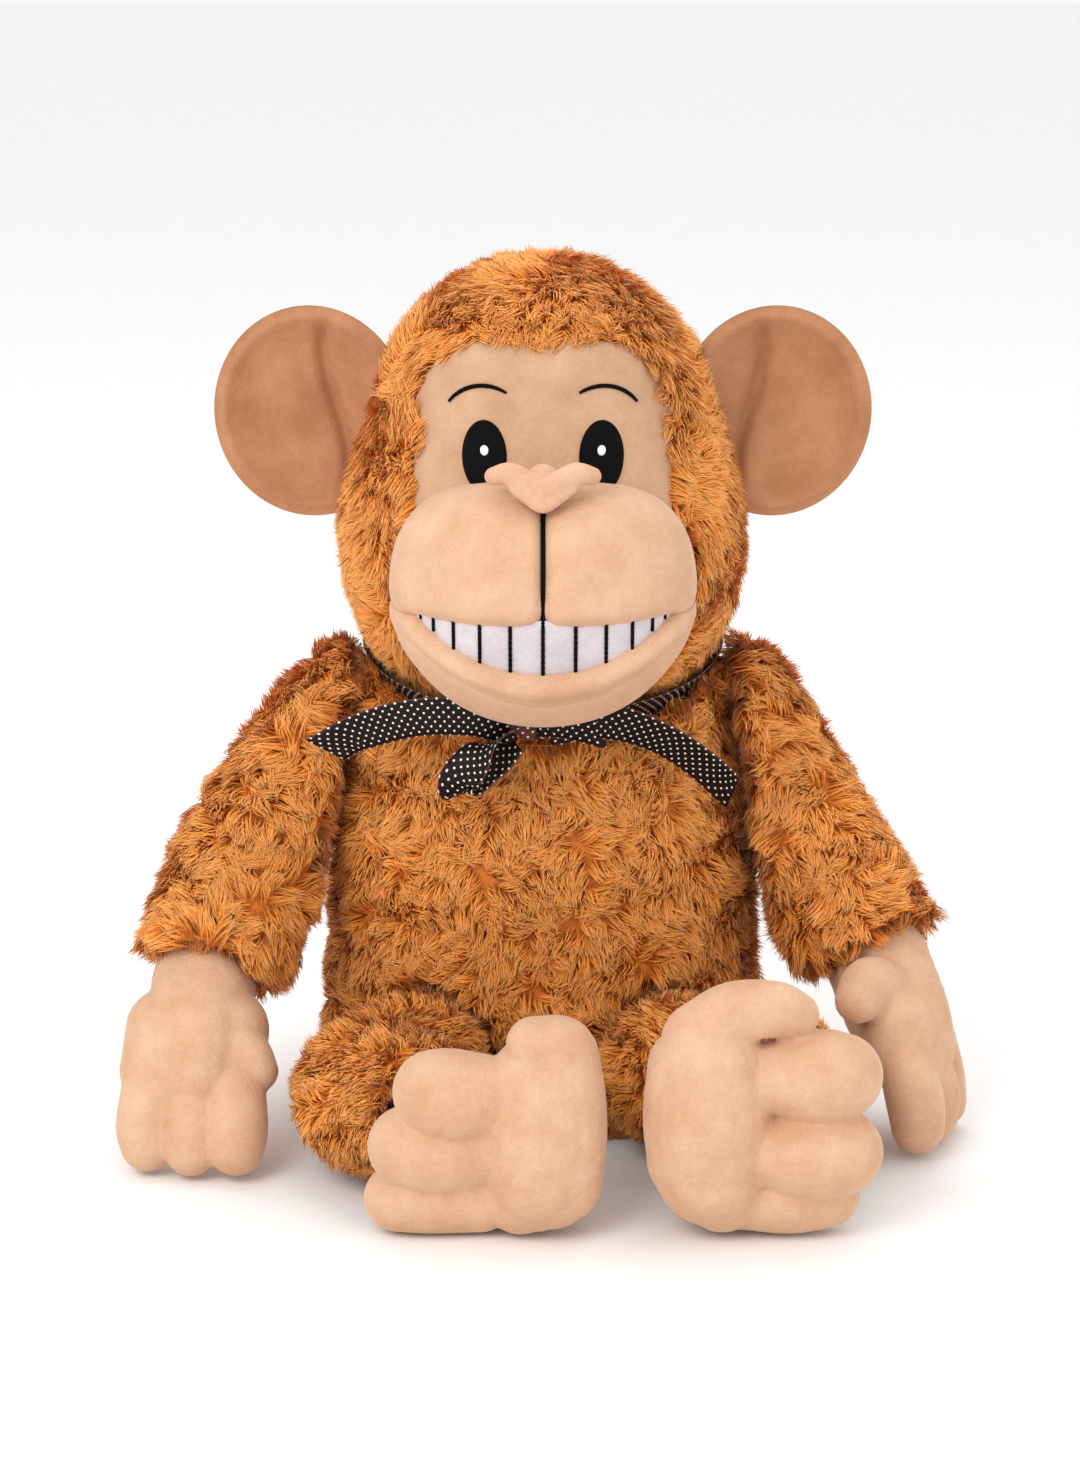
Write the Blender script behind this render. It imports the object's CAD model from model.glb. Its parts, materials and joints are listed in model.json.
# %% [markdown]
# # A seated stuffed monkey
#
# The toy is long-pile fur fabric and peach velour, sewn into closed bags and blown full of
# polyester fibre. The frame from the design gives every place and size; this file makes the
# looks: the pile, the velour, the embroidery and the ribbon.

# %% The frame
import json
import math

import bpy
import numpy as np
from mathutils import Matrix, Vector
from mathutils.bvhtree import BVHTree


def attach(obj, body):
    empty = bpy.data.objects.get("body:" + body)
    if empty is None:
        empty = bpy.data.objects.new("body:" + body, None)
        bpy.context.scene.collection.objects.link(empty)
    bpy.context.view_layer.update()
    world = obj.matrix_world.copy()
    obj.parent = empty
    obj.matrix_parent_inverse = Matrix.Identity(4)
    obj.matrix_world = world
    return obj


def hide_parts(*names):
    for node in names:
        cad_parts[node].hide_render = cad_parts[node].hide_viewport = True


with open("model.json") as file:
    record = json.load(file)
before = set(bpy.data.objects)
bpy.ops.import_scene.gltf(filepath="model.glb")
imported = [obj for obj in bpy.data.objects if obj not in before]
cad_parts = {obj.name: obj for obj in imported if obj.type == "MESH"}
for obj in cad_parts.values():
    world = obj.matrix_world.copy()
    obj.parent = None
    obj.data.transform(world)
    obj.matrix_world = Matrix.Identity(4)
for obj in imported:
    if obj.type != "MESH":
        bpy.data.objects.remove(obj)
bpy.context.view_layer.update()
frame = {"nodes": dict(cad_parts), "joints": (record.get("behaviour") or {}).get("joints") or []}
MM = 0.001
joints = {joint["name"]: joint for joint in frame["joints"]}


def joint_at(name):
    """A joint's middle, in metres, as the frame gives it."""
    return np.array(joints[name]["pos_m"], float)


# %% [markdown]
# ## The camera and the light
# A long lens, a little above the toy, as a catalogue picture is taken. The light is a large
# soft box high on the left, a weaker one on the right, one from above and behind that rims the
# fur, and a pale room all round.

# %% Camera, light and floor
TARGET = Vector((0, 0, 0.1815))
RISE = math.radians(15)
DISTANCE = 2.0


def add_camera():
    """A camera in front of the toy, raised by RISE, that looks at TARGET."""
    data = bpy.data.cameras.new("studio_camera")
    data.lens = 102
    data.shift_x = -0.002
    camera = bpy.data.objects.new("studio_camera", data)
    bpy.context.collection.objects.link(camera)
    camera.location = TARGET + Vector((0, -math.cos(RISE), math.sin(RISE))) * DISTANCE
    camera.rotation_euler = (math.pi / 2 - RISE, 0, 0)
    bpy.context.scene.camera = camera


def add_area_light(name, place, size, power, colour=(1, 1, 1)):
    """A square soft box that faces the toy."""
    data = bpy.data.lights.new(name, "AREA")
    data.size, data.energy, data.color = size, power, colour
    light = bpy.data.objects.new(name, data)
    bpy.context.collection.objects.link(light)
    light.location = place
    light.rotation_euler = (Vector((0, 0, 0.2)) - light.location).to_track_quat("-Z", "Y").to_euler()


add_camera()
add_area_light("key_box", Vector((-0.9, -1.5, 1.5)), 1.1, 19)
add_area_light("fill_box", Vector((1.4, -1.2, 0.8)), 1.4, 3)
add_area_light("top_box", Vector((0.1, 0.6, 1.7)), 1.2, 7)
world = bpy.data.worlds.new("pale_room")
bpy.context.scene.world = world
world.use_nodes = True
world.node_tree.nodes["Background"].inputs["Color"].default_value = (1.0, 1.0, 1.0, 1)
world.node_tree.nodes["Background"].inputs["Strength"].default_value = 0.98
bpy.context.scene.view_settings.view_transform = "Standard"


# %% [markdown]
# ## Meshes from arrays
# Every new piece is an array of points and an array of faces. A grid is a surface of two
# parameters; a lobe is a row of round balls along a path, melted into one skin.

# %% Mesh helpers
def new_piece(name, points, faces, smooth=True):
    """An object at the origin from points (n, 3) in metres and faces (m, 3 or 4)."""
    mesh = bpy.data.meshes.new(name)
    faces = faces.tolist() if hasattr(faces, "tolist") else list(faces)
    mesh.from_pydata(np.asarray(points, float).reshape(-1, 3).tolist(), [], faces)
    mesh.shade_smooth() if smooth else mesh.shade_flat()
    mesh.update()
    piece = bpy.data.objects.new(name, mesh)
    bpy.context.collection.objects.link(piece)
    return piece


def grid_faces(rows, columns, close_rows=False, close_columns=False):
    """Quads of a grid of rows by columns points, joined at its ends where asked."""
    r = np.arange(rows if close_rows else rows - 1)
    c = np.arange(columns if close_columns else columns - 1)
    r, c = np.meshgrid(r, c, indexing="ij")
    r2, c2 = (r + 1) % rows, (c + 1) % columns
    return np.stack([r * columns + c, r * columns + c2, r2 * columns + c2, r2 * columns + c],
                    -1).reshape(-1, 4)


def points_of(mesh):
    """The mesh's vertices as an array."""
    flat = np.empty(len(mesh.vertices) * 3)
    mesh.vertices.foreach_get("co", flat)
    return flat.reshape(-1, 3)


def normals_of(mesh):
    """The mesh's vertex normals as an array."""
    flat = np.empty(len(mesh.vertices) * 3)
    mesh.vertices.foreach_get("normal", flat)
    return flat.reshape(-1, 3)


def move_points(piece, points):
    """Puts the piece's vertices at the points."""
    piece.data.vertices.foreach_set("co", points.ravel())
    piece.data.update()


def apply_modifiers(piece):
    """Replaces the piece's mesh by what its modifiers make of it."""
    scene = bpy.context.evaluated_depsgraph_get()
    mesh = bpy.data.meshes.new_from_object(piece.evaluated_get(scene))
    old, piece.data = piece.data, mesh
    piece.modifiers.clear()
    bpy.data.meshes.remove(old)
    mesh.name = piece.name
    mesh.shade_smooth()


def melted(piece, voxel, rounds, factor=0.5):
    """Makes one closed skin of what the piece holds: a voxel remesh, then a number of smoothing rounds."""
    remesh = piece.modifiers.new("melt", "REMESH")
    remesh.mode, remesh.voxel_size = "VOXEL", voxel
    if rounds:
        smooth = piece.modifiers.new("relax", "SMOOTH")
        smooth.iterations, smooth.factor = rounds, factor
    apply_modifiers(piece)
    return piece


def cad_skin(name, nodes, voxel=0.004, rounds=6):
    """One closed skin round several of the design's pieces."""
    points, faces, start = [], [], 0
    for node in nodes:
        mesh = frame["nodes"][node].data
        mesh.calc_loop_triangles()
        triangles = np.empty(len(mesh.loop_triangles) * 3, int)
        mesh.loop_triangles.foreach_get("vertices", triangles)
        points.append(points_of(mesh))
        faces.append(triangles.reshape(-1, 3) + start)
        start += len(mesh.vertices)
    return melted(new_piece(name, np.concatenate(points), np.concatenate(faces)), voxel, rounds)


def ball_points(centre, radius, rings=14, turns=20):
    """A ball as a grid of latitudes and longitudes, with its quads."""
    up, round_ = np.meshgrid(np.linspace(0.02, np.pi - 0.02, rings), np.linspace(0, 2 * np.pi, turns, False),
                             indexing="ij")
    offset = np.stack([np.sin(up) * np.cos(round_), np.sin(up) * np.sin(round_), np.cos(up)],
                      -1).reshape(-1, 3)
    quads = grid_faces(rings, turns, close_columns=True)
    caps = [list(range(turns)), list(range((rings - 1) * turns, rings * turns))[::-1]]
    return np.asarray(centre) + offset * radius, quads, caps


def spline(points, count):
    """A smooth path through the points: each coordinate as a Catmull-Rom curve of the point's number."""
    points = np.asarray(points, float)
    if len(points) == 2:
        share = np.linspace(0, 1, count)[:, None]
        return points[0] * (1 - share) + points[1] * share
    ends = np.concatenate([[2 * points[0] - points[1]], points, [2 * points[-1] - points[-2]]])
    place = np.linspace(0, len(points) - 1 - 1e-9, count)
    base, t = place.astype(int), (place % 1)[:, None]
    p0, p1, p2, p3 = (ends[base + k] for k in range(4))
    return 0.5 * (2 * p1 + (p2 - p0) * t + (2 * p0 - 5 * p1 + 4 * p2 - p3) * t ** 2
                  + (3 * p1 - p0 - 3 * p2 + p3) * t ** 3)


def lobes(name, rows, voxel=0.002, rounds=4):
    """A stuffed form from rows of balls. A row is a list of (x, y, z, radius) in millimetres, and the
    balls between its points follow a smooth path with a smooth radius."""
    points, faces, start = [], [], 0
    for row in rows:
        length = sum(math.dist(a[:3], b[:3]) for a, b in zip(row, row[1:]))
        count = max(2, int(length / (min(ball[3] for ball in row) * 0.22)))
        for x, y, z, r in spline(row, count):
            p, quads, caps = ball_points((x * MM, y * MM, z * MM), r * MM)
            points.append(p)
            faces += (quads + start).tolist() + [[i + start for i in cap] for cap in caps]
            start += len(p)
    mesh = bpy.data.meshes.new(name)
    mesh.from_pydata(np.concatenate(points).tolist(), [], faces)
    piece = bpy.data.objects.new(name, mesh)
    bpy.context.collection.objects.link(piece)
    return melted(piece, voxel, rounds)


def waves(points, length, seed, parts=5):
    """Smooth noise from -1 to 1: a few plane waves of about this length, added up."""
    source = np.random.default_rng(seed)
    ways = source.normal(size=(parts, 3))
    ways /= np.linalg.norm(ways, axis=1)[:, None]
    pace = source.uniform(0.6, 1.6, parts) * 2 * np.pi / length
    start = source.uniform(0, 2 * np.pi, parts)
    return np.sin(points @ (ways * pace[:, None]).T + start).sum(1) / math.sqrt(parts * 2)


# %% [markdown]
# ## Materials
# Fur fabric is a knitted backing with a cut acrylic pile: dark at the root, where light
# hardly reaches, and bright at the tips. Velour is a very short dense pile that shows a
# soft edge glow and cloudy patches where it was brushed the other way. The embroidery is
# rayon thread, laid side by side and shiny along its length. The ribbon is satin.

# %% Material helpers
def linear(code):
    """An sRGB hex colour as linear light."""
    values = [int(code[i:i + 2], 16) / 255 for i in (1, 3, 5)]
    return tuple(v / 12.92 if v <= 0.04045 else ((v + 0.055) / 1.055) ** 2.4 for v in values) + (1,)


def node(tree, kind, links=None, values=None, **settings):
    """Adds a shader node with its settings, its socket values and its links."""
    made = tree.nodes.new(kind)
    for key, value in settings.items():
        setattr(made, key, value)
    for key, value in (values or {}).items():
        made.inputs[key].default_value = value
    for key, source in (links or {}).items():
        tree.links.new(source, made.inputs[key])
    return made


def ramp(tree, source, stops):
    """A colour ramp over (place, hex colour) stops."""
    made = node(tree, "ShaderNodeValToRGB", {"Fac": source})
    elements = made.color_ramp.elements
    while len(elements) < len(stops):
        elements.new(0.5)
    for element, (place, code) in zip(elements, stops):
        element.position, element.color = place, linear(code)
    return made.outputs["Color"]


def blank_material(name):
    """A new material, its node tree and its surface node."""
    material = bpy.data.materials.new(name)
    material.use_nodes = True
    return material, material.node_tree, material.node_tree.nodes["Principled BSDF"]


def tinted(tree, colour, fac, low, high):
    """The colour times a grey that runs from low to high with fac."""
    grey = node(tree, "ShaderNodeMapRange", {"Value": fac}, {"To Min": low, "To Max": high}).outputs["Result"]
    vector = node(tree, "ShaderNodeVectorMath", {"Vector": colour}, operation="SCALE")
    tree.links.new(grey, vector.inputs["Scale"])
    return vector.outputs["Vector"]


def object_place(tree):
    """The place on the piece, in metres."""
    return node(tree, "ShaderNodeTexCoord").outputs["Object"]


def dress(tree, surface, colour, height=None, bump=(0.0, 0.0), **values):
    """Links a colour and, where given, a bump of (strength, metres), and sets the other sockets."""
    tree.links.new(colour, surface.inputs["Base Color"])
    if height:
        made = node(tree, "ShaderNodeBump", {"Height": height}, {"Strength": bump[0], "Distance": bump[1]})
        tree.links.new(made.outputs["Normal"], surface.inputs["Normal"])
    for name, value in values.items():
        surface.inputs[name.replace("_", " ")].default_value = value


# %% Fur pile and its backing
def fur_material():
    """Brushed acrylic pile, dyed caramel: each tuft has its own shade, and roots are darker than tips."""
    material, tree, surface = blank_material("caramel_fur_pile")
    shade = node(tree, "ShaderNodeAttribute", attribute_name="pile")
    parts = node(tree, "ShaderNodeSeparateColor", {"Color": shade.outputs["Color"]}).outputs
    colour = ramp(tree, parts["Red"], [(0.0, "#B65A16"), (0.3, "#DC7C28"), (0.65, "#F29B42"),
                                       (1.0, "#FFBE74")])
    colour = tinted(tree, colour, parts["Green"], 0.84, 1.14)
    place = object_place(tree)
    patches = node(tree, "ShaderNodeTexNoise", {"Vector": place}, {"Scale": 22.0, "Detail": 2.0})
    colour = tinted(tree, colour, patches.outputs["Fac"], 0.86, 1.12)
    dress(tree, surface, colour, Roughness=0.62, Specular_IOR_Level=0.25, Sheen_Weight=0.35,
          Sheen_Roughness=0.4, Sheen_Tint=linear("#FFD9A8"))
    return material


def backing_material():
    """The knitted backing between the tufts, in the shade of the deep pile."""
    material, tree, surface = blank_material("fur_backing_knit")
    place = object_place(tree)
    noise = node(tree, "ShaderNodeTexNoise", {"Vector": place}, {"Scale": 260.0, "Detail": 3.0})
    colour = ramp(tree, noise.outputs["Fac"], [(0.3, "#BC6418"), (0.7, "#D97E2C")])
    dress(tree, surface, colour, noise.outputs["Fac"], (0.6, 0.001), Roughness=0.9)
    return material


# %% Velour, threads and fillings
def velour_material(name, low, high, nap=900.0):
    """Short-pile velour: clouds of brushed nap, a fine grain of pile and a soft glow at its edges."""
    material, tree, surface = blank_material(name)
    place = object_place(tree)
    clouds = node(tree, "ShaderNodeTexNoise", {"Vector": place},
                  {"Scale": 45.0, "Detail": 4.0, "Roughness": 0.6})
    grain = node(tree, "ShaderNodeTexNoise", {"Vector": place}, {"Scale": nap, "Detail": 2.0})
    strokes = node(tree, "ShaderNodeTexNoise", {"Vector": place},
                   {"Scale": 230.0, "Detail": 3.0, "Distortion": 1.2})
    colour = ramp(tree, clouds.outputs["Fac"], [(0.3, low), (0.7, high)])
    colour = tinted(tree, colour, grain.outputs["Fac"], 0.88, 1.10)
    colour = tinted(tree, colour, strokes.outputs["Fac"], 0.92, 1.07)
    height = node(tree, "ShaderNodeMath", {0: grain.outputs["Fac"], 1: strokes.outputs["Fac"]},
                  operation="ADD")
    dress(tree, surface, colour, height.outputs[0], (0.5, 0.0006), Roughness=0.92, Specular_IOR_Level=0.2,
          Sheen_Weight=0.45, Sheen_Roughness=0.35, Sheen_Tint=linear("#FFE9D6"))
    return material


def thread_material(name, low, high):
    """Rayon embroidery thread: fine strands side by side, with a soft shine."""
    material, tree, surface = blank_material(name)
    place = object_place(tree)
    strands = node(tree, "ShaderNodeTexWave", {"Vector": place},
                   {"Scale": 420.0, "Distortion": 1.5, "Detail": 1.0},
                   bands_direction="X")
    colour = ramp(tree, strands.outputs["Fac"], [(0.2, low), (0.9, high)])
    dress(tree, surface, colour, strands.outputs["Fac"], (0.35, 0.0003), Roughness=0.75,
          Specular_IOR_Level=0.08)
    return material


def fibre_material():
    """White siliconised polyester fibre, out of sight inside the skins."""
    material, tree, surface = blank_material("polyester_fibre")
    place = object_place(tree)
    noise = node(tree, "ShaderNodeTexNoise", {"Vector": place},
                 {"Scale": 180.0, "Detail": 6.0, "Distortion": 2.0})
    colour = ramp(tree, noise.outputs["Fac"], [(0.3, "#D8D8D4"), (0.7, "#F4F4F0")])
    dress(tree, surface, colour, noise.outputs["Fac"], (0.8, 0.002), Roughness=0.8)
    return material


def pouch_material():
    """Unbleached cotton in a plain weave, 1.2 mm to a thread, sewn round the pellets."""
    material, tree, surface = blank_material("pouch_cotton_weave")
    place = object_place(tree)
    warp, weft = (node(tree, "ShaderNodeTexWave", {"Vector": place}, {"Scale": 260.0, "Distortion": 0.4},
                       bands_direction=way).outputs["Fac"] for way in "XY")
    weave = node(tree, "ShaderNodeMath", {0: warp, 1: weft}, operation="MULTIPLY").outputs[0]
    dress(tree, surface, ramp(tree, weave, [(0.1, "#B9B1A2"), (0.8, "#DDD6C8")]), weave, (0.5, 0.0004),
          Roughness=0.85)
    return material


FUR = fur_material()
BACKING = backing_material()
VELOUR = velour_material("peach_velour", "#CB9D7B", "#DAB293")
FACE_VELOUR = velour_material("face_patch_velour_cloth", "#BC9270", "#CCA587")
EAR_VELOUR = velour_material("ear_lining_velour", "#A87350", "#BC8763")
TEETH = velour_material("teeth_velour", "#C3B8BE", "#D6CCD0")
BLACK_THREAD = thread_material("black_rayon_thread", "#030304", "#0E0E11")
WHITE_THREAD = thread_material("white_rayon_thread", "#D8D8D8", "#FFFFFF")
FIBRE = fibre_material()
POUCH = pouch_material()
print("materials:", len(bpy.data.materials))


def finish_piece(piece, material, body, slot, *nodes, fill=None):
    """Gives a piece its material, the body that it rides on and the design pieces it stands for."""
    piece.data.materials.clear()
    piece.data.materials.append(material)
    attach(piece, body)
    if nodes:
        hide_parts(*nodes)
    return piece


# %% [markdown]
# ## Fur members
# Head, body, arms and legs are bags of fur fabric. One closed skin is melted round each
# member's design pieces and drawn in to where the knitted backing lies under the pile. It is
# the stuffed form that the pile then grows from.

# %% The stuffed bags under the pile
PILE_DEPTH = 6.5 * MM
MEMBERS = {
    "torso": ["torso_front_panel", "torso_back_panel", "seat_panel"],
    "head": ["head_side_left", "head_side_right", "head_gusset", "face_patch"],
}
for side in ("left", "right"):
    MEMBERS[side + "_arm"] = [side + "_arm_front", side + "_arm_back"]
    MEMBERS[side + "_leg"] = [side + "_leg_upper", side + "_leg_lower"]


def drawn_in(piece, depth, along=None):
    """Moves every point inwards along its normal by depth, and less where it faces along the limb."""
    mesh = piece.data
    normals = normals_of(mesh)
    share = 1.0
    if along is not None:
        inner = np.clip(-normals[:, :1] * np.sign(along[0]) * (along[2] < -0.5), 0, 1)
        share = 1 - 0.8 * np.maximum(np.abs(normals @ along)[:, None] ** 4, inner ** 2)
    move_points(piece, points_of(mesh) - normals * depth * share)
    return piece


def limb_way(body):
    """The way from a limb's root joint to its wrist or ankle."""
    side, limb = body.split("_")
    ends = (body + "_swing", side + "_wrist_bend") if limb == "arm" else (body + "_lift", side + "_foot_flex")
    way = joint_at(ends[1]) - joint_at(ends[0])
    return way / np.linalg.norm(way)


bags = {}
for body, nodes in MEMBERS.items():
    bag = drawn_in(cad_skin(body + "_fur_backing", nodes + [body + "_stuffing"]), PILE_DEPTH,
                   limb_way(body) if "_" in body else None)
    finish_piece(bag, BACKING, body, "fur_fabric", body + "_stuffing",
                 *[n for n in nodes if n != "face_patch"], fill=0.7)
    bags[body] = bag
    print(bag.name, len(bag.data.polygons), "faces")

# %% [markdown]
# ## The pile
# Long acrylic pile sticks together in tufts a few millimetres across, and the tufts of one
# patch lean one way, then swirl into the next. Each tuft here is a handful of flat tapering
# blades that start apart and lean to one tip. Real blades of mesh are used, because they
# show at the outline and travel with the toy, which a painted bump doesn't.

# %% Where tufts grow
def surface_samples(mesh, spacing, seed):
    """Even places on a mesh: many random ones, weighted by triangle area, of which one is kept in
    each cube of a grid as wide as the spacing."""
    mesh.calc_loop_triangles()
    corners = np.empty(len(mesh.loop_triangles) * 3, int)
    mesh.loop_triangles.foreach_get("vertices", corners)
    corners = corners.reshape(-1, 3)
    points, normals = points_of(mesh), normals_of(mesh)
    a, b, c = (points[corners[:, k]] for k in range(3))
    area = np.linalg.norm(np.cross(b - a, c - a), axis=1) / 2
    source = np.random.default_rng(seed)
    count = int(area.sum() / spacing ** 2 * 7)
    chosen = source.choice(len(area), count, p=area / area.sum())
    share = source.uniform(size=(count, 2))
    flip = share.sum(1) > 1
    share[flip] = 1 - share[flip]
    u, v = share[:, :1], share[:, 1:]
    place = a[chosen] * (1 - u - v) + b[chosen] * u + c[chosen] * v
    normal = sum(normals[corners[chosen, k]] * w for k, w in ((0, 1 - u - v), (1, u), (2, v)))
    normal /= np.linalg.norm(normal, axis=1)[:, None]
    first = np.unique(np.floor(place / spacing).astype(int), axis=0, return_index=True)[1]
    first.sort()
    return place[first], normal[first]


def unit(vectors):
    """Each row divided by its own length."""
    return vectors / np.maximum(np.linalg.norm(vectors, axis=1), 1e-9)[:, None]


def lean_field(place, normal, length, seed, down=0.5):
    """Which way the pile leans: partly downwards, partly a smooth wandering way, laid in the surface."""
    wander = np.stack([waves(place, length, seed + k) for k in range(3)], 1)
    way = wander * 1.2 + np.array([0, -0.15, -down])
    return unit(way - normal * (way * normal).sum(1)[:, None])


# %% Blades of pile
def blades(name, place, normal, lean, look, seed):
    """Tufts of tapering blades. A blade is a curve r(t) = (1-t)^2 root + 2t(1-t) bend + t^2 tip with its
    width across it; blades of a tuft start in a disc round its place and meet near its tip."""
    source = np.random.default_rng(seed)
    per = max(3, int(look["blades"] * (1)))
    tufts, total = len(place), len(place) * per
    across = np.cross(normal, lean)
    rise = look["rise"] * source.uniform(0.8, 1.2, tufts)[:, None]
    reach = look["reach"] * source.uniform(0.7, 1.3, tufts)[:, None]
    tuft_tip = place + normal * rise + lean * reach + across * (reach * source.normal(0, 0.35, (tufts, 1)))
    each = lambda values: np.repeat(values, per, axis=0)
    radius = look["spread"] * np.sqrt(source.uniform(size=(total, 1)))
    turn = source.uniform(0, 2 * np.pi, (total, 1))
    offset = each(lean) * (radius * np.cos(turn)) + each(across) * (radius * np.sin(turn))
    root = each(place) + offset - each(normal) * 0.001
    tip = each(tuft_tip) + offset * 0.38 + source.normal(0, 0.0009, (total, 3))
    tip += each(normal) * source.uniform(-0.0022, 0.0012, (total, 1))
    bend = root + (tip - root) * 0.35 + each(normal) * (each(rise) * 0.55)
    path = unit(tip - root)
    side = np.cross(path, each(normal)) + source.normal(0, 0.45, (total, 3))
    side = unit(side - path * (side * path).sum(1)[:, None])
    steps = np.array([0.0, 0.55])
    widths = np.array([1.0, 0.8]) * look["width"] / 2
    points = np.empty((total, 5, 3))
    for row, (t, half) in enumerate(zip(steps, widths)):
        middle = root * (1 - t) ** 2 + bend * (2 * t * (1 - t)) + tip * t ** 2
        points[:, 2 * row] = middle - side * half
        points[:, 2 * row + 1] = middle + side * half
    points[:, 4] = tip
    points[..., 2] = np.maximum(points[..., 2], 0.0004)
    pattern = np.array([0, 1, 3, 2, 2, 3, 4])
    loops = (np.arange(total)[:, None] * 5 + pattern).ravel()
    mesh = bpy.data.meshes.new(name)
    mesh.vertices.add(total * 5)
    mesh.vertices.foreach_set("co", points.ravel())
    mesh.loops.add(len(loops))
    mesh.loops.foreach_set("vertex_index", loops.astype(np.int32))
    mesh.polygons.add(total * 2)
    starts = (np.arange(total)[:, None] * 7 + np.array([0, 4])).ravel()
    mesh.polygons.foreach_set("loop_start", starts.astype(np.int32))
    mesh.update(calc_edges=True)
    facing = np.cross(side, path)
    facing *= np.sign((facing * each(normal)).sum(1))[:, None] + 1e-6
    shown = unit(facing * 0.3 + each(normal) * 0.9)
    height = np.array([0, 0, 0.55, 0.55, 1.0])
    shade = np.ones((total, 5, 4))
    shade[..., 0] = height
    shade[..., 1] = np.clip(each(source.normal(0.5, 0.16, (tufts, 1))) + source.normal(0, 0.13, (total, 1)),
                            0, 1)
    shade[..., 2] = 0
    colours = mesh.color_attributes.new("pile", "FLOAT_COLOR", "POINT")
    colours.data.foreach_set("color", shade.ravel())
    add_blade_map(mesh, total)
    mesh.shade_smooth()
    mesh.normals_split_custom_set_from_vertices(np.repeat(shown, 5, axis=0))
    piece = bpy.data.objects.new(name, mesh)
    bpy.context.collection.objects.link(piece)
    return piece


def add_blade_map(mesh, total):
    """A flat map with one upright cell for each blade, root at its foot and tip at its head."""
    columns = int(math.ceil(math.sqrt(total * 2)))
    rows = int(math.ceil(total / columns))
    number = np.arange(total)
    low = np.stack([number % columns / columns, number // columns / rows], 1)
    across = np.array([0.2, 0.8, 0.8, 0.2, 0.2, 0.8, 0.5]) / columns
    up = (0.1 + 0.8 * np.array([0, 0, 0.55, 0.55, 0.55, 0.55, 1.0])) / rows
    place = low[:, None, :] + np.stack([across, up], 1)[None]
    mesh.uv_layers.new(name="OFBake").data.foreach_set("uv", place.ravel())


# %% Where no pile grows
def nearest(tree, points):
    """Distances from points to a skin, taken as nothing just inside it."""
    found = [tree.find_nearest(Vector(p)) for p in points]
    inside = np.array([(Vector(p) - f[0]).dot(f[1]) < 0 for p, f in zip(points, found)])
    away = np.array([f[3] for f in found])
    return np.where(inside & (away < 0.006), 0, away)


def head_radius(z):
    """The head's radius at a height: two balls and the straight line that touches both."""
    low_z, top_z, low_r, top_r = 0.280, 0.334, 0.098, 0.082
    slope = (low_r - top_r) / (top_z - low_z)
    level = math.sqrt(1 - slope ** 2)
    ball_low = np.sqrt(np.maximum(low_r ** 2 - (z - low_z) ** 2, 1e-8))
    ball_top = np.sqrt(np.maximum(top_r ** 2 - (z - top_z) ** 2, 1e-8))
    line = (low_r - (z - low_z) * slope) / level
    return np.where(z < low_z + low_r * slope, ball_low, np.where(z > top_z + top_r * slope, ball_top, line))


def window_half_width(z):
    """Half the face patch's width at a height: straight sides and round upper corners."""
    half, corner, top = 0.058, 0.036, 0.382
    above = np.clip(z - (top - corner), 0, corner)
    return half - corner + np.sqrt(np.maximum(corner ** 2 - above ** 2, 0))


def bare_on_head(p):
    """Where the head has the face patch, the muzzle or an ear's root instead of pile."""
    x, y, z = p.T
    face = (y < 0) & (np.abs(x) < window_half_width(z) - 0.001) & (z > 0.262) & (z < 0.3815)
    muzzle = ((x / 0.070) ** 2 + ((z - 0.268) / 0.053) ** 2 < 1) & (y < 0)
    return face | muzzle


trees = {body: BVHTree.FromPolygons([v.co for v in bag.data.vertices],
                                    [p.vertices for p in bag.data.polygons])
         for body, bag in bags.items()}
NEIGHBOURS = {"torso": ["head", "left_arm", "right_arm", "left_leg", "right_leg"], "head": ["torso"]}
for side in ("left", "right"):
    NEIGHBOURS[side + "_arm"] = NEIGHBOURS[side + "_leg"] = ["torso"]

# %% The coats
COATS = {
    "head": dict(spacing=0.0052, blades=36, rise=0.0056, reach=0.0095, spread=0.0058, width=0.0007,
                 whorl=0.055),
    "torso": dict(spacing=0.0054, blades=34, rise=0.0066, reach=0.0068, spread=0.0056, width=0.0007,
                  whorl=0.030),
    "arm": dict(spacing=0.0056, blades=36, rise=0.0068, reach=0.0086, spread=0.0058, width=0.0007,
                whorl=0.038),
    "leg": dict(spacing=0.0048, blades=30, rise=0.0058, reach=0.0046, spread=0.0046, width=0.0007,
                whorl=0.024),
}
LIMIT = 195000


def panels_of(body, place):
    """Splits a member's tufts into the sewn panels that they grow on."""
    x, y, z = place.T
    if body == "torso":
        seat = z < 0.012
        return {"torso_front_panel": (y < 0) & ~seat, "torso_back_panel": (y >= 0) & ~seat,
                "seat_panel": seat}
    if body == "head":
        crown = np.abs(x) < 0.023
        return {"head_gusset": crown, "head_side_left": (x > 0) & ~crown, "head_side_right": (x < 0) & ~crown}
    a, b = MEMBERS[body]
    front = y < joint_at(body + ("_swing" if "arm" in body else "_lift"))[1] if "arm" in body else z > 0.042
    return {a: front, b: ~front}


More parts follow.
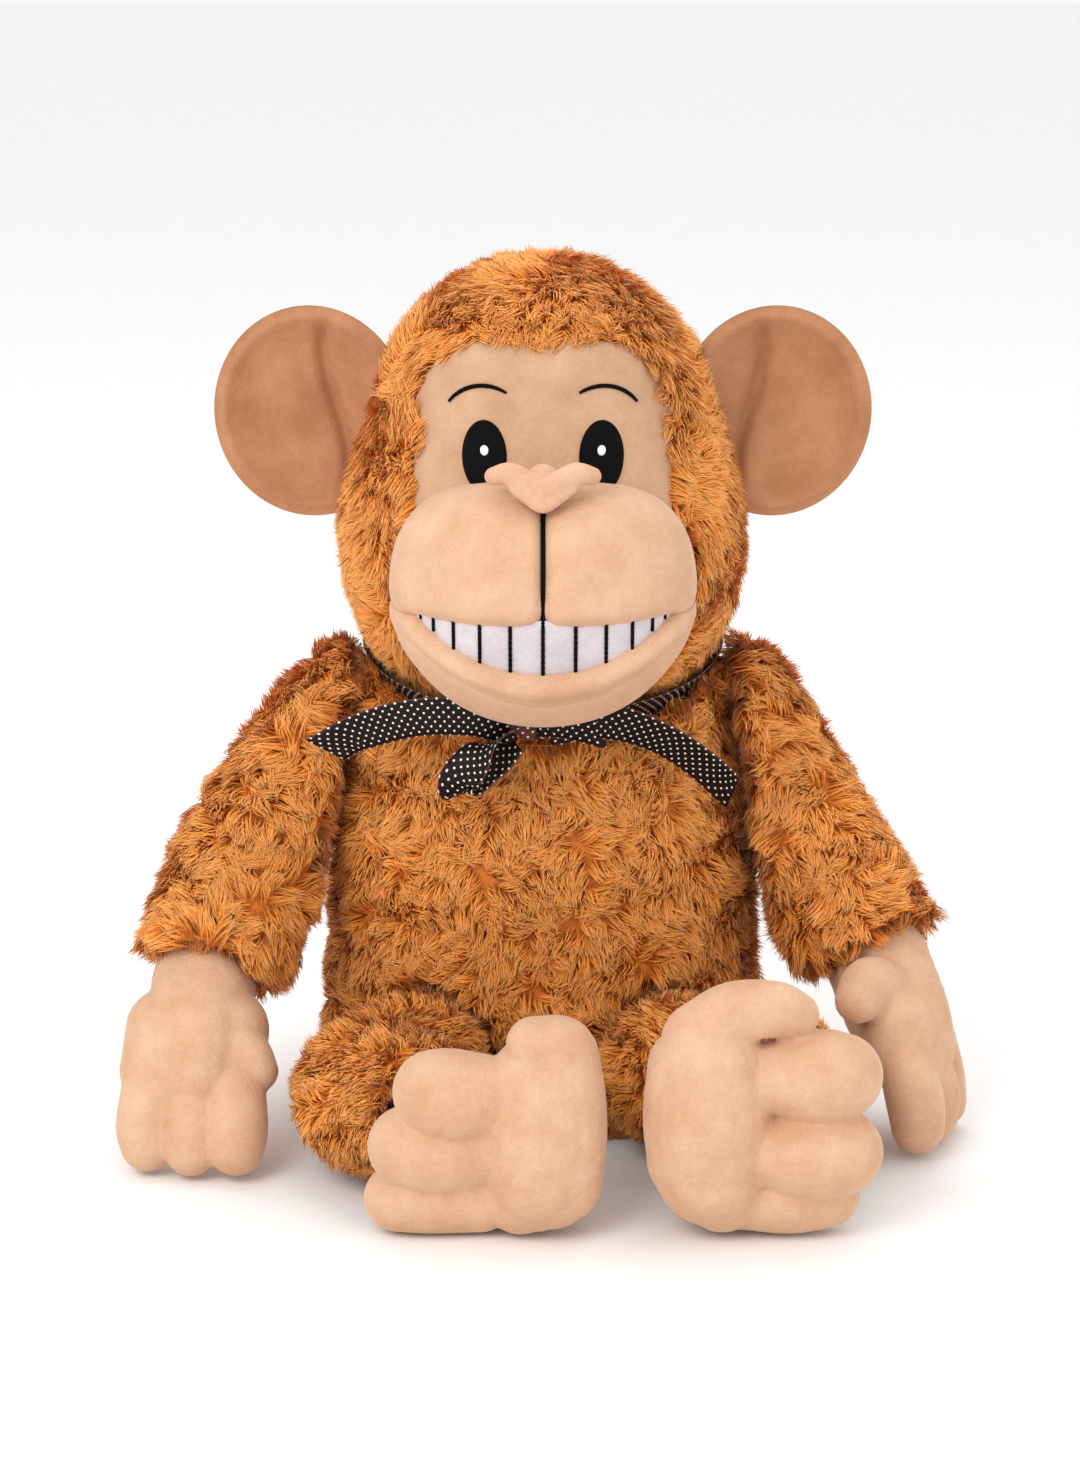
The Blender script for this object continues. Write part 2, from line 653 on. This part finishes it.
for number, body in enumerate(MEMBERS):
    look = COATS[body.split("_")[-1]]
    place, normal = surface_samples(bags[body].data, look["spacing"], 40 + number)
    keep = np.ones(len(place), bool)
    for other in NEIGHBOURS[body]:
        keep &= nearest(trees[other], place) > (0.001 if "arm" in body + other else 0.011)
    if body == "head":
        keep &= ~bare_on_head(place)
    elif body != "torso":
        side = body.split("_")[0]
        end = joint_at(side + ("_wrist_bend" if "arm" in body else "_foot_flex"))
        keep &= np.linalg.norm(place - end, axis=1) > 0.024
    place, normal = place[keep], normal[keep]
    lean = lean_field(place, normal, look["whorl"], 90 + 10 * number)
    print(body, "tufts from", place.min(0).round(3), "to", place.max(0).round(3))
    for panel, on in panels_of(body, place).items():
        if not on.any():
            print("no tufts on", panel)
            continue
        parts = int(math.ceil(on.sum() * look["blades"] * 3 / LIMIT))
        shares = np.array_split(np.flatnonzero(on)[np.argsort(place[on][:, 0])], parts)
        for part, chosen in enumerate(shares):
            name = panel + "_pile" + ("_%d" % (part + 1) if part else "")
            coat = blades(name, place[chosen], normal[chosen], lean[chosen], look, 200 + 20 * part + number)
            finish_piece(coat, FUR, body, "fur_fabric", panel)
            print(coat.name, len(chosen), "tufts", len(coat.data.polygons), "faces")


# %% [markdown]
# ## The face
# The face is a flat patch of velour let into the fur, and in front of it a stuffed muzzle
# of two upper halves, a lower lip with the chin, and a sunk strip of teeth. All are made as
# heights over the head's round form or over one ellipsoid, so that their edges meet.

# %% Face patch
def face_skin(x, z, lift=0.0):
    """A point on the face patch: the head's round form, 3 mm below the tips of the pile."""
    r = head_radius(z) - 0.003
    return -np.sqrt(np.maximum(r ** 2 - x ** 2, 1e-6)) - lift


u, v = np.meshgrid(np.linspace(-1, 1, 61), np.linspace(0, 1, 61), indexing="ij")
z = 0.262 + (0.3835 - 0.262) * (1 - (1 - v) ** 1.5)
x = u * (window_half_width(np.minimum(z, 0.3819)) + 0.001)
rim = np.maximum(np.abs(u) ** 8, np.clip((z - 0.372) / 0.0115, 0, 1) ** 3)
y = face_skin(x, z, 0.0012) + 0.005 * rim
face_patch = new_piece("face_patch_velour", np.stack([x, y, z], -1), grid_faces(61, 61)[:, ::-1])
finish_piece(face_patch, FACE_VELOUR, "head", "velour", "face_patch")

# %% The muzzle's round form
MUZZLE = np.array([0, -0.078, 0.270])
HALF = np.array([0.0700, 0.060, 0.054])
MOUTH_Z, MOUTH_HALF, TEETH_TALL = 0.266, 0.060, 0.024
SMILE_R = (MOUTH_HALF ** 2 + TEETH_TALL ** 2) / (2 * TEETH_TALL)


def level_at(z):
    """The muzzle's width at a height, as a share of its widest: fuller above its middle than below it."""
    t = np.clip(np.abs((z - MUZZLE[2]) / HALF[2]), 0, 1)
    power = np.where(z > MUZZLE[2], 2.7, 2.15)
    return np.maximum(1 - t ** power, 0) ** (1 / power)


def on_muzzle(turn, z, out=0.0):
    """A point on the muzzle's round form at a turn from straight ahead and a height, moved outwards."""
    level = level_at(z)
    p = np.stack([HALF[0] * level * np.sin(turn), -HALF[1] * level * np.cos(turn), z - MUZZLE[2]], -1)
    length = np.linalg.norm(p, axis=-1, keepdims=True)
    return MUZZLE + p * (1 + np.asarray(out)[..., None] / length)


def smile_z(turn, drop=0.0):
    """The height of the smile at a turn: an arc of a circle through both corners of the mouth."""
    z = np.full_like(turn, MOUTH_Z)
    for _ in range(8):
        level = level_at(z)
        x = np.clip(HALF[0] * level * np.sin(turn), -MOUTH_HALF, MOUTH_HALF)
        z = MOUTH_Z - TEETH_TALL + SMILE_R - np.sqrt(SMILE_R ** 2 - x ** 2) - drop
    return np.where(np.cos(turn) < 0, MOUTH_Z - drop, z)


def past_corner(turn):
    """One between the corners of the mouth, falling to a fifth behind them, where the seam lies flush."""
    t = np.clip((np.abs(turn) - 0.98) / 0.22, 0, 1)
    return 1 - 0.8 * t * t * (3 - 2 * t)


# %% Upper muzzle
def upper_half(side):
    """Half of the upper muzzle: rows climb from the lip to the top, columns go from the middle seam
    round the cheek. It puffs between its seams, dips at the middle seam and rolls under at the lip."""
    turn = np.radians(np.concatenate([[0.0, 0.0], np.linspace(0.2, 8, 10), np.linspace(10, 125, 44)]))
    share = np.concatenate([[0.0, 0.0, 0.0], np.linspace(0.01, 0.12, 8), np.linspace(0.15, 0.997, 40)])
    turn, share = np.meshgrid(turn, share, indexing="ij")
    z = MOUTH_Z + (MUZZLE[2] + HALF[2] - MOUTH_Z) * np.sin(share * np.pi / 2)
    x = HALF[0] * np.sin(turn)
    puff = 0.0022 * np.sin(np.clip(turn / 1.5, 0, 1) * np.pi) * np.sin(np.clip(share * 1.1, 0, 1) * np.pi)
    groove = -0.0042 * np.exp(-(x / 0.0035) ** 2) - 0.0016 * np.exp(-(x / 0.011) ** 2)
    lip = -0.004 * np.exp(-(share / 0.035) ** 2) + 0.0014 * np.exp(-((share - 0.1) / 0.07) ** 2)
    out = puff + groove + lip * past_corner(turn)
    first = np.arange(turn.shape[0])[:, None] * np.ones(turn.shape[1])[None]
    out = np.where(first == 0, -0.011, out)
    row = np.arange(turn.shape[1])[None] * np.ones(turn.shape[0])[:, None]
    out = np.where(row == 0, -0.014, np.where(row == 1, -0.008, out))
    p = on_muzzle(turn, z, out)
    p[..., 0] *= side
    faces = grid_faces(*turn.shape)
    name = "left" if side > 0 else "right"
    piece = new_piece("muzzle_upper_%s_velour" % name, p, faces[:, ::-1] if side > 0 else faces)
    return finish_piece(piece, VELOUR, "head", "velour", "muzzle_upper_" + name, "muzzle_stuffing", fill=0.85)


upper_half(1)
upper_half(-1)

# %% Lower lip and chin
turn = np.radians(np.linspace(-125, 125, 151))
share = np.concatenate([[0, 0, 0], np.linspace(0.012, 0.42, 34), np.linspace(0.45, 0.995, 22)])
turn, share = np.meshgrid(turn, share, indexing="ij")
top = smile_z(turn)
low = MUZZLE[2] - HALF[2]
z = top - (top - low) * np.sin(share * np.pi / 2)
below = (top - z) * 1000
roll = -0.0035 * np.exp(-(below / 0.9) ** 2) + 0.0030 * np.exp(-((below - 5) / 4.2) ** 2)
seams = -0.0010 * np.exp(-((below - 9.3) / 0.45) ** 2) - 0.0012 * np.exp(-((below - 11.5) / 0.5) ** 2)
front = np.clip(np.cos(turn) * 1.4, 0, 1)
out = roll * past_corner(turn) + seams * front + 0.0008 * np.sin(np.clip(share, 0, 1) * np.pi)
row = np.arange(share.shape[1])[None] * np.ones(share.shape[0])[:, None]
out = np.where(row == 0, -0.014, np.where(row == 1, -0.007, out))
chin = on_muzzle(turn, z, out)
hang = np.clip((-chin[..., 1] - 0.088) / 0.022, 0, 1)
chin[..., 2] -= 0.010 * hang ** 2 * (3 - 2 * hang) * np.sin(share * np.pi / 2) ** 1.5
lower_lip = new_piece("lower_lip_velour", chin, grid_faces(*turn.shape))
finish_piece(lower_lip, VELOUR, "head", "velour", "lower_lip", fill=0.8)


# %% Teeth
def tooth_number(x):
    """Which tooth a place is on: tooth lines are 15 degrees apart on the mouth's half width."""
    return np.degrees(np.arcsin(np.clip(x / MOUTH_HALF, -1, 1))) / 15


turn = np.radians(np.linspace(-72, 72, 193))
share = np.linspace(0, 1, 17)
turn, share = np.meshgrid(turn, share, indexing="ij")
z = (MOUTH_Z + 0.004) * share + (smile_z(turn) - 0.002) * (1 - share)
x = HALF[0] * np.sin(turn)
pillow = 0.0011 * np.abs(np.sin(tooth_number(x) * np.pi)) ** 0.6 * np.sin(np.clip(share, 0.08,
                                                                                  0.92) * np.pi) ** 0.5
teeth = new_piece("teeth_velour_strip", on_muzzle(turn, z, pillow - 0.0042), grid_faces(*turn.shape))
finish_piece(teeth, TEETH, "head", "teeth_velour", "teeth_panel")


# %% Stitched lines
def rope(path, radius, around=8, bumps=0.0, taper=0.0):
    """A thread line: a circle carried along a path, fuller at each stitch and thinner at its ends."""
    path = np.asarray(path, float)
    ahead = unit(np.gradient(path, axis=0))
    side = unit(np.cross(ahead, np.array([0.0, -1.0, 0.15])))
    up = np.cross(side, ahead)
    t = np.linspace(0, 1, len(path))
    stitch = bumps * np.abs(np.sin(np.arange(len(path)) * np.pi / 3))
    size = radius * (1 + stitch - taper * np.abs(2 * t - 1) ** 3)
    turn = np.linspace(0, 2 * np.pi, around, False)
    ring = side[:, None] * np.cos(turn)[None, :, None] + up[:, None] * np.sin(turn)[None, :, None]
    points = path[:, None] + ring * size[:, None, None]
    count = len(path)
    points = np.concatenate([points.reshape(-1, 3), path[:1], path[-1:]])
    faces = grid_faces(count, around, close_columns=True).tolist()
    faces += [[(k + 1) % around, k, count * around] for k in range(around)]
    last = (count - 1) * around
    faces += [[last + k, last + (k + 1) % around, count * around + 1] for k in range(around)]
    return points, faces


def joined(name, parts):
    """One mesh of several (points, faces)."""
    start, points, faces = 0, [], []
    for p, f in parts:
        points.append(np.asarray(p).reshape(-1, 3))
        faces += [[i + start for i in face] for face in (f.tolist() if hasattr(f, "tolist") else f)]
        start += len(points[-1])
    return new_piece(name, np.concatenate(points), faces)


def turn_at(x, z):
    """The turn from straight ahead at which the muzzle has this x at this height."""
    return np.arcsin(np.clip(x / (HALF[0] * level_at(z)), -1, 1))


lines = []
for k in range(-5, 6):
    x = MOUTH_HALF * math.sin(math.radians(15 * k))
    foot = smile_z(turn_at(np.array([x]), np.array([0.25])))[0]
    z = np.linspace(foot - 0.001, MOUTH_Z + 0.001, 26)
    lines.append(rope(on_muzzle(turn_at(x, z), z, -0.0037 * np.ones(26)), 0.00075, bumps=0.25))
finish_piece(joined("tooth_stitch_lines", lines), BLACK_THREAD, "head", "black_thread", "tooth_stitching")
z = np.linspace(MOUTH_Z - 0.001, 0.3215, 110)
seam = joined("lip_seam_stitch_line", [rope(on_muzzle(0 * z, z, -0.0046 * np.ones(110)), 0.0009, bumps=0.25)])
finish_piece(seam, BLACK_THREAD, "head", "black_thread", "lip_seam_stitching")

# %% Nose, eyes and brows
nose = lobes("nose_velour", [[(-22, -108, 330, 4.2), (-15, -113, 332, 5.2), (-7, -117, 329, 5.4),
                              (0, -119, 325.5, 5.6),
                              (7, -117, 329, 5.4), (15, -113, 332, 5.2), (22, -108, 330, 4.2)],
                             [(-13, -117, 326.5, 2.6), (-6, -121, 322.5, 3.2), (0, -122.5, 319.5, 3.4),
                              (6, -121, 322.5, 3.2), (13, -117, 326.5, 2.6)],
                             [(0, -100, 326, 8), (0, -112, 326, 7)]], 0.001, 2)
NOSE_VELOUR = velour_material("nose_velour_pink_inside", "#CC9B7B", "#DAB093")
finish_piece(nose, NOSE_VELOUR, "head", "velour", "nose", fill=0.7)


def stitched_oval(x0, z0, half_w, half_tall, lift, rings=14, around=64):
    """A raised satin-stitched oval on the face: rings of an ellipse, highest inside its edge."""
    ring, turn = np.meshgrid(np.linspace(0.0, 1, rings), np.linspace(0, 2 * np.pi, around, False),
                             indexing="ij")
    x = x0 + half_w * ring * np.cos(turn)
    z = z0 + half_tall * ring * np.sin(turn)
    height = lift * np.sqrt(np.maximum(1 - ring ** 6, 0)) + 0.0010 - 0.0008 * (ring > 0.99)
    y = face_skin(x, z, 0.0012) - height
    points = np.stack([x, y, z], -1)
    return points.reshape(-1, 3), grid_faces(rings, around, close_columns=True)[:, ::-1]


EYE_Z, EYE_X = 0.3335, 0.0265
for side, sign in (("left", 1), ("right", -1)):
    eye = joined("eye_%s_satin_stitch" % side, [stitched_oval(sign * EYE_X, EYE_Z, 0.0102, 0.0158, 0.0012)])
    finish_piece(eye, BLACK_THREAD, "head", "black_thread", "eye_" + side)
glints = joined("eye_highlight_stitches", [stitched_oval(s * EYE_X, EYE_Z + 0.003, 0.0022, 0.0026, 0.0016,
                                                         8, 24)
                                           for s in (1, -1)])
finish_piece(glints, WHITE_THREAD, "head", "white_thread", "eye_highlights")
brow_lines = []
for sign in (1, -1):
    turn = np.radians(np.linspace(37, 119, 60))
    x = sign * (EYE_X + 0.0205 * np.cos(turn))
    z = 0.3435 + 0.0205 * np.sin(turn)
    brow_lines.append(rope(np.stack([x, face_skin(x, z, 0.0016), z], -1), 0.0009, bumps=0.2, taper=0.45))
finish_piece(joined("brow_stitch_lines", brow_lines), BLACK_THREAD, "head", "black_thread", "brow_stitching")

# %% [markdown]
# ## Ears
# An ear is two round pieces of velour with a thin padding, seamed at the rim, cupped
# forwards and pleated where it is sewn into the head.

# %% Ears
def ear(side, sign):
    """A cupped disc: front depth falls with the square of the distance to the rim, the rim is a round
    roll, and a pleat runs near the sewn edge."""
    ring = np.concatenate([np.linspace(0, 0.86, 22), np.linspace(0.89, 1.0, 8)])
    ring, turn = np.meshgrid(ring, np.linspace(0, 2 * np.pi, 96, False), indexing="ij")
    half_w, half_tall = 0.046, 0.050
    x = half_w * ring * np.cos(turn)
    z = half_tall * ring * np.sin(turn)
    cup = 0.015 * (1 - ring ** 2.6) - 0.004 * np.exp(-((x - 0.008) / 0.012) ** 2 - ((z - 0.004) / 0.02) ** 2)
    fold = np.exp(-((x + 0.012 - 0.006 * np.sin(z / 0.018)) / 0.0035) ** 2)
    pleat = 0.006 * fold * np.clip((0.95 - ring) / 0.2, 0, 1)
    roll = 0.0045 * np.clip((ring - 0.86) / 0.14, 0, 1)
    front = -0.0052 + cup + pleat + roll - 0.0012 * np.exp(-((ring - 0.9) / 0.04) ** 2)
    back = 0.0052 + 0.0135 * (1 - ring ** 2.2) - 0.0045 * np.clip((ring - 0.8) / 0.2, 0, 1)
    parts = []
    for depth, flip in ((front, False), (back, True)):
        px = np.maximum(0.109 + x, head_radius(0.339 + z) - 0.009)
        points = np.stack([sign * px, depth + 0.10 * (x + 0.02), 0.339 + z], -1).reshape(-1, 3)
        faces = grid_faces(*ring.shape, close_columns=True)
        parts.append((points, faces if flip == (sign > 0) else faces[:, ::-1]))
    for (points, faces), label, material in zip(parts, ("lining", "back"), (EAR_VELOUR, VELOUR)):
        piece = joined("ear_%s_%s_velour" % (side, label), [(points, faces)])
        nodes = ["ear_%s_%s" % (side, label)] + (["ear_%s_padding" % side] if label == "back" else [])
        finish_piece(piece, material, side + "_ear", "ear_velour" if label == "lining" else "velour",
                     *nodes, fill=0.4)


ear("left", 1)
ear("right", -1)

# %% [markdown]
# ## Hands and feet
# They are velour bags whose fingers and toes are pulled in with a few stitches, so each
# shows as a fat lobe with a sharp crease beside it. Rows of balls are melted into one skin,
# finely enough that the creases stay.

# %% Hands and feet
FORMS = {
    "foot_right": [
        [(-42, -166, 50, 25), (-20, -176, 50, 27)],
        [(-2, -186, 30, 25), (-2, -187, 50, 27), (0, -186, 70, 25)],
        [(8, -187, 26, 19), (9, -188, 50, 20), (8, -188, 74, 19), (4, -188, 84, 17)],
        [(12, -186, 72, 15), (9, -188, 88, 14.5), (-4, -192, 92, 12.5)],
        [(-22, -190, 68, 17), (-40, -192, 68, 21), (-48, -190, 69, 19)],
        [(-30, -188, 40, 15), (-48, -189, 41, 19), (-60, -186, 42, 18.5)],
        [(-28, -184, 15, 14), (-50, -184, 16, 15.5), (-65, -183, 16.5, 15.5)],
        [(-10, -186, 18, 17), (4, -187, 22, 18)],
    ],
    "foot_left": [
        [(98, -166, 50, 25), (84, -176, 50, 27)],
        [(75, -187, 32, 26), (74, -188, 56, 28), (74, -188, 80, 25)],
        [(64, -188, 36, 18), (62, -188, 58, 18), (64, -188, 80, 18)],
        [(70, -188, 92, 18), (84, -189, 105, 14.5), (102, -191, 108, 12.5), (112, -190, 105, 10)],
        [(104, -189, 76, 17), (122, -190, 76, 21.5), (132, -188, 76, 19)],
        [(102, -191, 41, 16), (118, -193, 41, 20), (132, -190, 41, 19.5)],
        [(92, -185, 18, 15.5), (110, -185, 18, 17), (126, -184, 19, 16)],
        [(80, -186, 20, 18), (72, -187, 26, 19)],
    ],
    "hand_right": [
        [(-160, -64, 76, 25), (-162, -84, 58, 25), (-163, -94, 46, 23)],
        [(-176, -80, 60, 20), (-181, -92, 44, 17)], [(-148, -80, 60, 20), (-146, -92, 46, 17)],
        [(-183, -98, 36, 14), (-185, -106, 22, 14), (-184, -110, 14, 12.5)],
        [(-163, -101, 36, 14), (-163, -112, 22, 14.5), (-163, -116, 14, 12.5)],
        [(-143, -102, 38, 14.5), (-142, -114, 24, 15), (-142, -118, 16, 13.5)],
        [(-148, -86, 60, 14), (-138, -94, 52, 12), (-133, -98, 46, 10)],
    ],
    "hand_left": [
        [(160, -44, 80, 25), (168, -54, 60, 25), (174, -60, 46, 22)],
        [(166, -72, 62, 17), (172, -76, 44, 17)],
        [(170, -84, 44, 13), (174, -90, 30, 14), (176, -90, 16, 13)],
        [(178, -64, 40, 14), (183, -70, 26, 14.5), (184, -70, 14, 13)],
        [(184, -44, 42, 14), (188, -48, 26, 14), (190, -50, 14, 13)],
        [(160, -66, 76, 14), (152, -78, 82, 12.5), (147, -84, 76, 11)],
    ],
}
for name, rows in FORMS.items():
    kind, side = name.split("_")
    skin = lobes(name + "_velour", rows, 0.0014, 3)
    pair = ("sole", "instep") if kind == "foot" else ("palm", "back")
    nodes = ["%s_%s_%s" % (kind, side, part) for part in pair + ("stuffing",)]
    finish_piece(skin, VELOUR, "%s_%s" % (side, kind), "velour", *nodes, fill=0.8)
    print(skin.name, len(skin.data.polygons), "faces")


# %% [markdown]
# ## Ribbon
# One length of dark satin ribbon with small woven-in dots goes round the neck and is tied
# in a soft bow under the chin. A ribbon is a strip carried along a path: its two edges are
# the path plus and minus half its width along a direction that turns slowly.

# %% Satin with dots
def ribbon_material():
    """Dark satin: fine cross ribs, staggered dots 1.1 mm wide and 3.3 mm apart, and a lighter woven edge."""
    material, tree, surface = blank_material("dark_dotted_satin_ribbon")
    place = node(tree, "ShaderNodeUVMap", uv_map="strip").outputs["UV"]
    dots = []
    for shift in ((0, 0, 0), (0.5, 0.5, 0)):
        moved = node(tree, "ShaderNodeVectorMath", {0: place}, {1: (1 / 4.6, 1 / 4.6, 0)},
                     operation="MULTIPLY")
        moved = node(tree, "ShaderNodeVectorMath", {0: moved.outputs[0]}, {1: shift}, operation="ADD")
        inside = node(tree, "ShaderNodeVectorMath", {0: moved.outputs[0]}, operation="FRACTION")
        centred = node(tree, "ShaderNodeVectorMath", {0: inside.outputs[0]}, {1: (0.5, 0.5, 0)},
                       operation="SUBTRACT")
        length = node(tree, "ShaderNodeVectorMath", {0: centred.outputs[0]}, operation="LENGTH")
        dots.append(length.outputs["Value"])
    near = node(tree, "ShaderNodeMath", {0: dots[0], 1: dots[1]}, operation="MINIMUM").outputs[0]
    dot = node(tree, "ShaderNodeMapRange", {"Value": near}, {"From Min": 0.10, "From Max": 0.13,
                                                             "To Min": 1.0,
                                                             "To Max": 0.0}).outputs["Result"]
    across = node(tree, "ShaderNodeSeparateXYZ", {"Vector": place}).outputs["Y"]
    ribs = node(tree, "ShaderNodeTexWave", {"Vector": place}, {"Scale": 1.6, "Distortion": 0.3},
                bands_direction="X")
    ground = ramp(tree, ribs.outputs["Fac"], [(0.0, "#0C0504"), (1.0, "#1C0E0C")])
    edge = node(tree, "ShaderNodeMath", {0: across}, {1: 9.5}, operation="SUBTRACT").outputs[0]
    edge = node(tree, "ShaderNodeMath", {0: edge}, operation="ABSOLUTE").outputs[0]
    edge = node(tree, "ShaderNodeMapRange", {"Value": edge}, {"From Min": 8.6,
                                                              "From Max": 9.2}).outputs["Result"]
    mixed = node(tree, "ShaderNodeMix", data_type="RGBA")
    tree.links.new(edge, mixed.inputs[0])
    tree.links.new(ground, mixed.inputs[6])
    mixed.inputs[7].default_value = linear("#5A3328")
    dotted = node(tree, "ShaderNodeMix", data_type="RGBA")
    tree.links.new(dot, dotted.inputs[0])
    tree.links.new(mixed.outputs[2], dotted.inputs[6])
    dotted.inputs[7].default_value = linear("#F2E8DC")
    dress(tree, surface, dotted.outputs[2], ribs.outputs["Fac"], (0.15, 0.0002), Roughness=0.55,
          Specular_IOR_Level=0.18)
    return material


RIBBON = ribbon_material()
WIDTH = 0.019


# %% Strips of ribbon
def strip(name, path, sides, count=70, closed=False, slant=0.0, ripple=0.0):
    """A ribbon: path points in mm made smooth, with the way across given at each. Slant cuts its end."""
    middle = spline(path, count) * MM
    across = unit(spline(sides, count))
    if ripple:
        middle = middle + np.array([0, ripple, 0]) * np.sin(np.linspace(0, 5, count))[:, None]
    run = np.concatenate([[0], np.cumsum(np.linalg.norm(np.diff(middle, axis=0), axis=1))])
    rows = 7
    share = np.linspace(-0.5, 0.5, rows)
    ahead = unit(np.gradient(middle, axis=0))
    across = unit(across - ahead * (across * ahead).sum(1)[:, None])
    points = middle[:, None] + across[:, None] * (share * WIDTH)[None, :, None]
    fade = np.clip((run - run[-1] + 0.02) / 0.02, 0, 1)
    points += ahead[:, None] * (slant * share)[None, :, None] * fade[:, None, None]
    piece = new_piece(name, points, grid_faces(count, rows))
    along, over = np.meshgrid(run * 1000, (share + 0.5) * 19, indexing="ij")
    flat = np.stack([along.ravel(), over.ravel()], 1)
    mesh = piece.data
    index = np.empty(len(mesh.loops), int)
    mesh.loops.foreach_get("vertex_index", index)
    mesh.uv_layers.new(name="strip").data.foreach_set("uv", flat[index].ravel())
    finish_piece(piece, RIBBON, "torso", "dotted_ribbon", name.replace("_satin", ""))
    solid = piece.modifiers.new("thickness", "SOLIDIFY")
    solid.thickness, solid.offset = 0.0005, 0
    print(name, "length", round(float(run[-1]) * 1000), "mm")
    return piece


turn = np.linspace(0, 2 * np.pi, 25)
tilt = math.radians(11)
ring, lean_out = [], []
for a in turn:
    p = np.array([80.5 * math.sin(a), -80.5 * math.cos(a), -60.0])
    w = np.array([0.60 * math.sin(a), -0.60 * math.cos(a), 0.80])
    turned = lambda q: np.array([q[0], q[1] * math.cos(tilt) - q[2] * math.sin(tilt),
                                 q[1] * math.sin(tilt) + q[2] * math.cos(tilt)])
    ring.append(turned(p) + np.array([0, 0, 280]))
    lean_out.append(turned(w))
strip("ribbon_collar_satin", ring, lean_out, 120)
strip("ribbon_tail_right_satin", [(-12, -86, 208), (-34, -90, 214), (-60, -84, 212), (-86, -72, 202),
                                  (-101, -64, 192)],
      [(0.1, -0.3, 1), (0.3, -0.2, 1), (0.3, -0.3, 1), (0.4, -0.45, 0.9), (0.45, -0.45, 0.8)], slant=0.010,
      ripple=0.0012)
strip("ribbon_tail_left_satin", [(2, -86, 208), (28, -90, 212), (52, -86, 204), (72, -79, 190),
                                 (88, -73, 174)],
      [(0.1, -0.3, 1), (0.1, -0.3, 1), (0.5, -0.45, 0.8), (0.7, -0.45, 0.6), (0.75, -0.45, 0.55)],
      slant=-0.012,
      ripple=0.0012)
strip("ribbon_loop_right_satin", [(-14, -86, 207), (-27, -94, 200), (-38, -94, 186), (-37, -89, 178),
                                  (-26, -85, 188),
                                  (-14, -84, 202)],
      [(0.7, -0.2, 0.5), (0.8, -0.2, 0.5), (0.9, -0.3, 0.4), (0.9, -0.3, 0.4), (0.8, -0.2, 0.5),
       (0.7, -0.2, 0.5)])
strip("ribbon_loop_left_satin", [(-6, -84, 212), (8, -88, 212), (24, -88, 209), (27, -84, 208),
                                 (12, -82, 210),
                                 (-6, -82, 211)],
      [(0, -0.2, 1), (0, -0.3, 1), (0, -0.3, 1), (0, -0.3, 1), (0, -0.3, 1), (0, -0.2, 1)])
knot = lobes("ribbon_knot_satin", [[(-14, -84, 213, 4.5), (-10, -86, 210, 5.5), (-7, -85, 206, 4.5)]],
             0.0011, 4)
knot.data.uv_layers.new(name="strip")
at_ = points_of(knot.data) * 1000
index = np.empty(len(knot.data.loops), int)
knot.data.loops.foreach_get("vertex_index", index)
knot.data.uv_layers["strip"].data.foreach_set("uv", at_[index][:, [2, 0]].ravel())
finish_piece(knot, RIBBON, "torso", "dotted_ribbon", "ribbon_knot")

# %% [markdown]
# ## What stays from the design
# Fillings sit out of sight inside their skins with the look of their own stuff.

# %% Inner pieces and the floor
for name, piece in frame["nodes"].items():
    if piece.hide_render:
        continue
    piece.data.materials.clear()
    piece.data.materials.append(POUCH if name == "pellet_pouch" else FIBRE)
    print("kept from the design:", name)

floor_mesh = new_piece("studio_floor", np.array([[-6, -6, 0], [6, -6, 0], [6, 6, 0], [-6, 6, 0]], float),
                       np.array([[0, 1, 2, 3]]), smooth=False)
floor_paper, tree, surface = blank_material("pale_studio_paper")
grain = node(tree, "ShaderNodeTexNoise", {"Vector": object_place(tree)}, {"Scale": 40.0})
dress(tree, surface, ramp(tree, grain.outputs["Fac"], [(0.0, "#F3F3F3"), (1.0, "#F8F8F8")]), Roughness=0.9)
floor_mesh.data.materials.append(floor_paper)
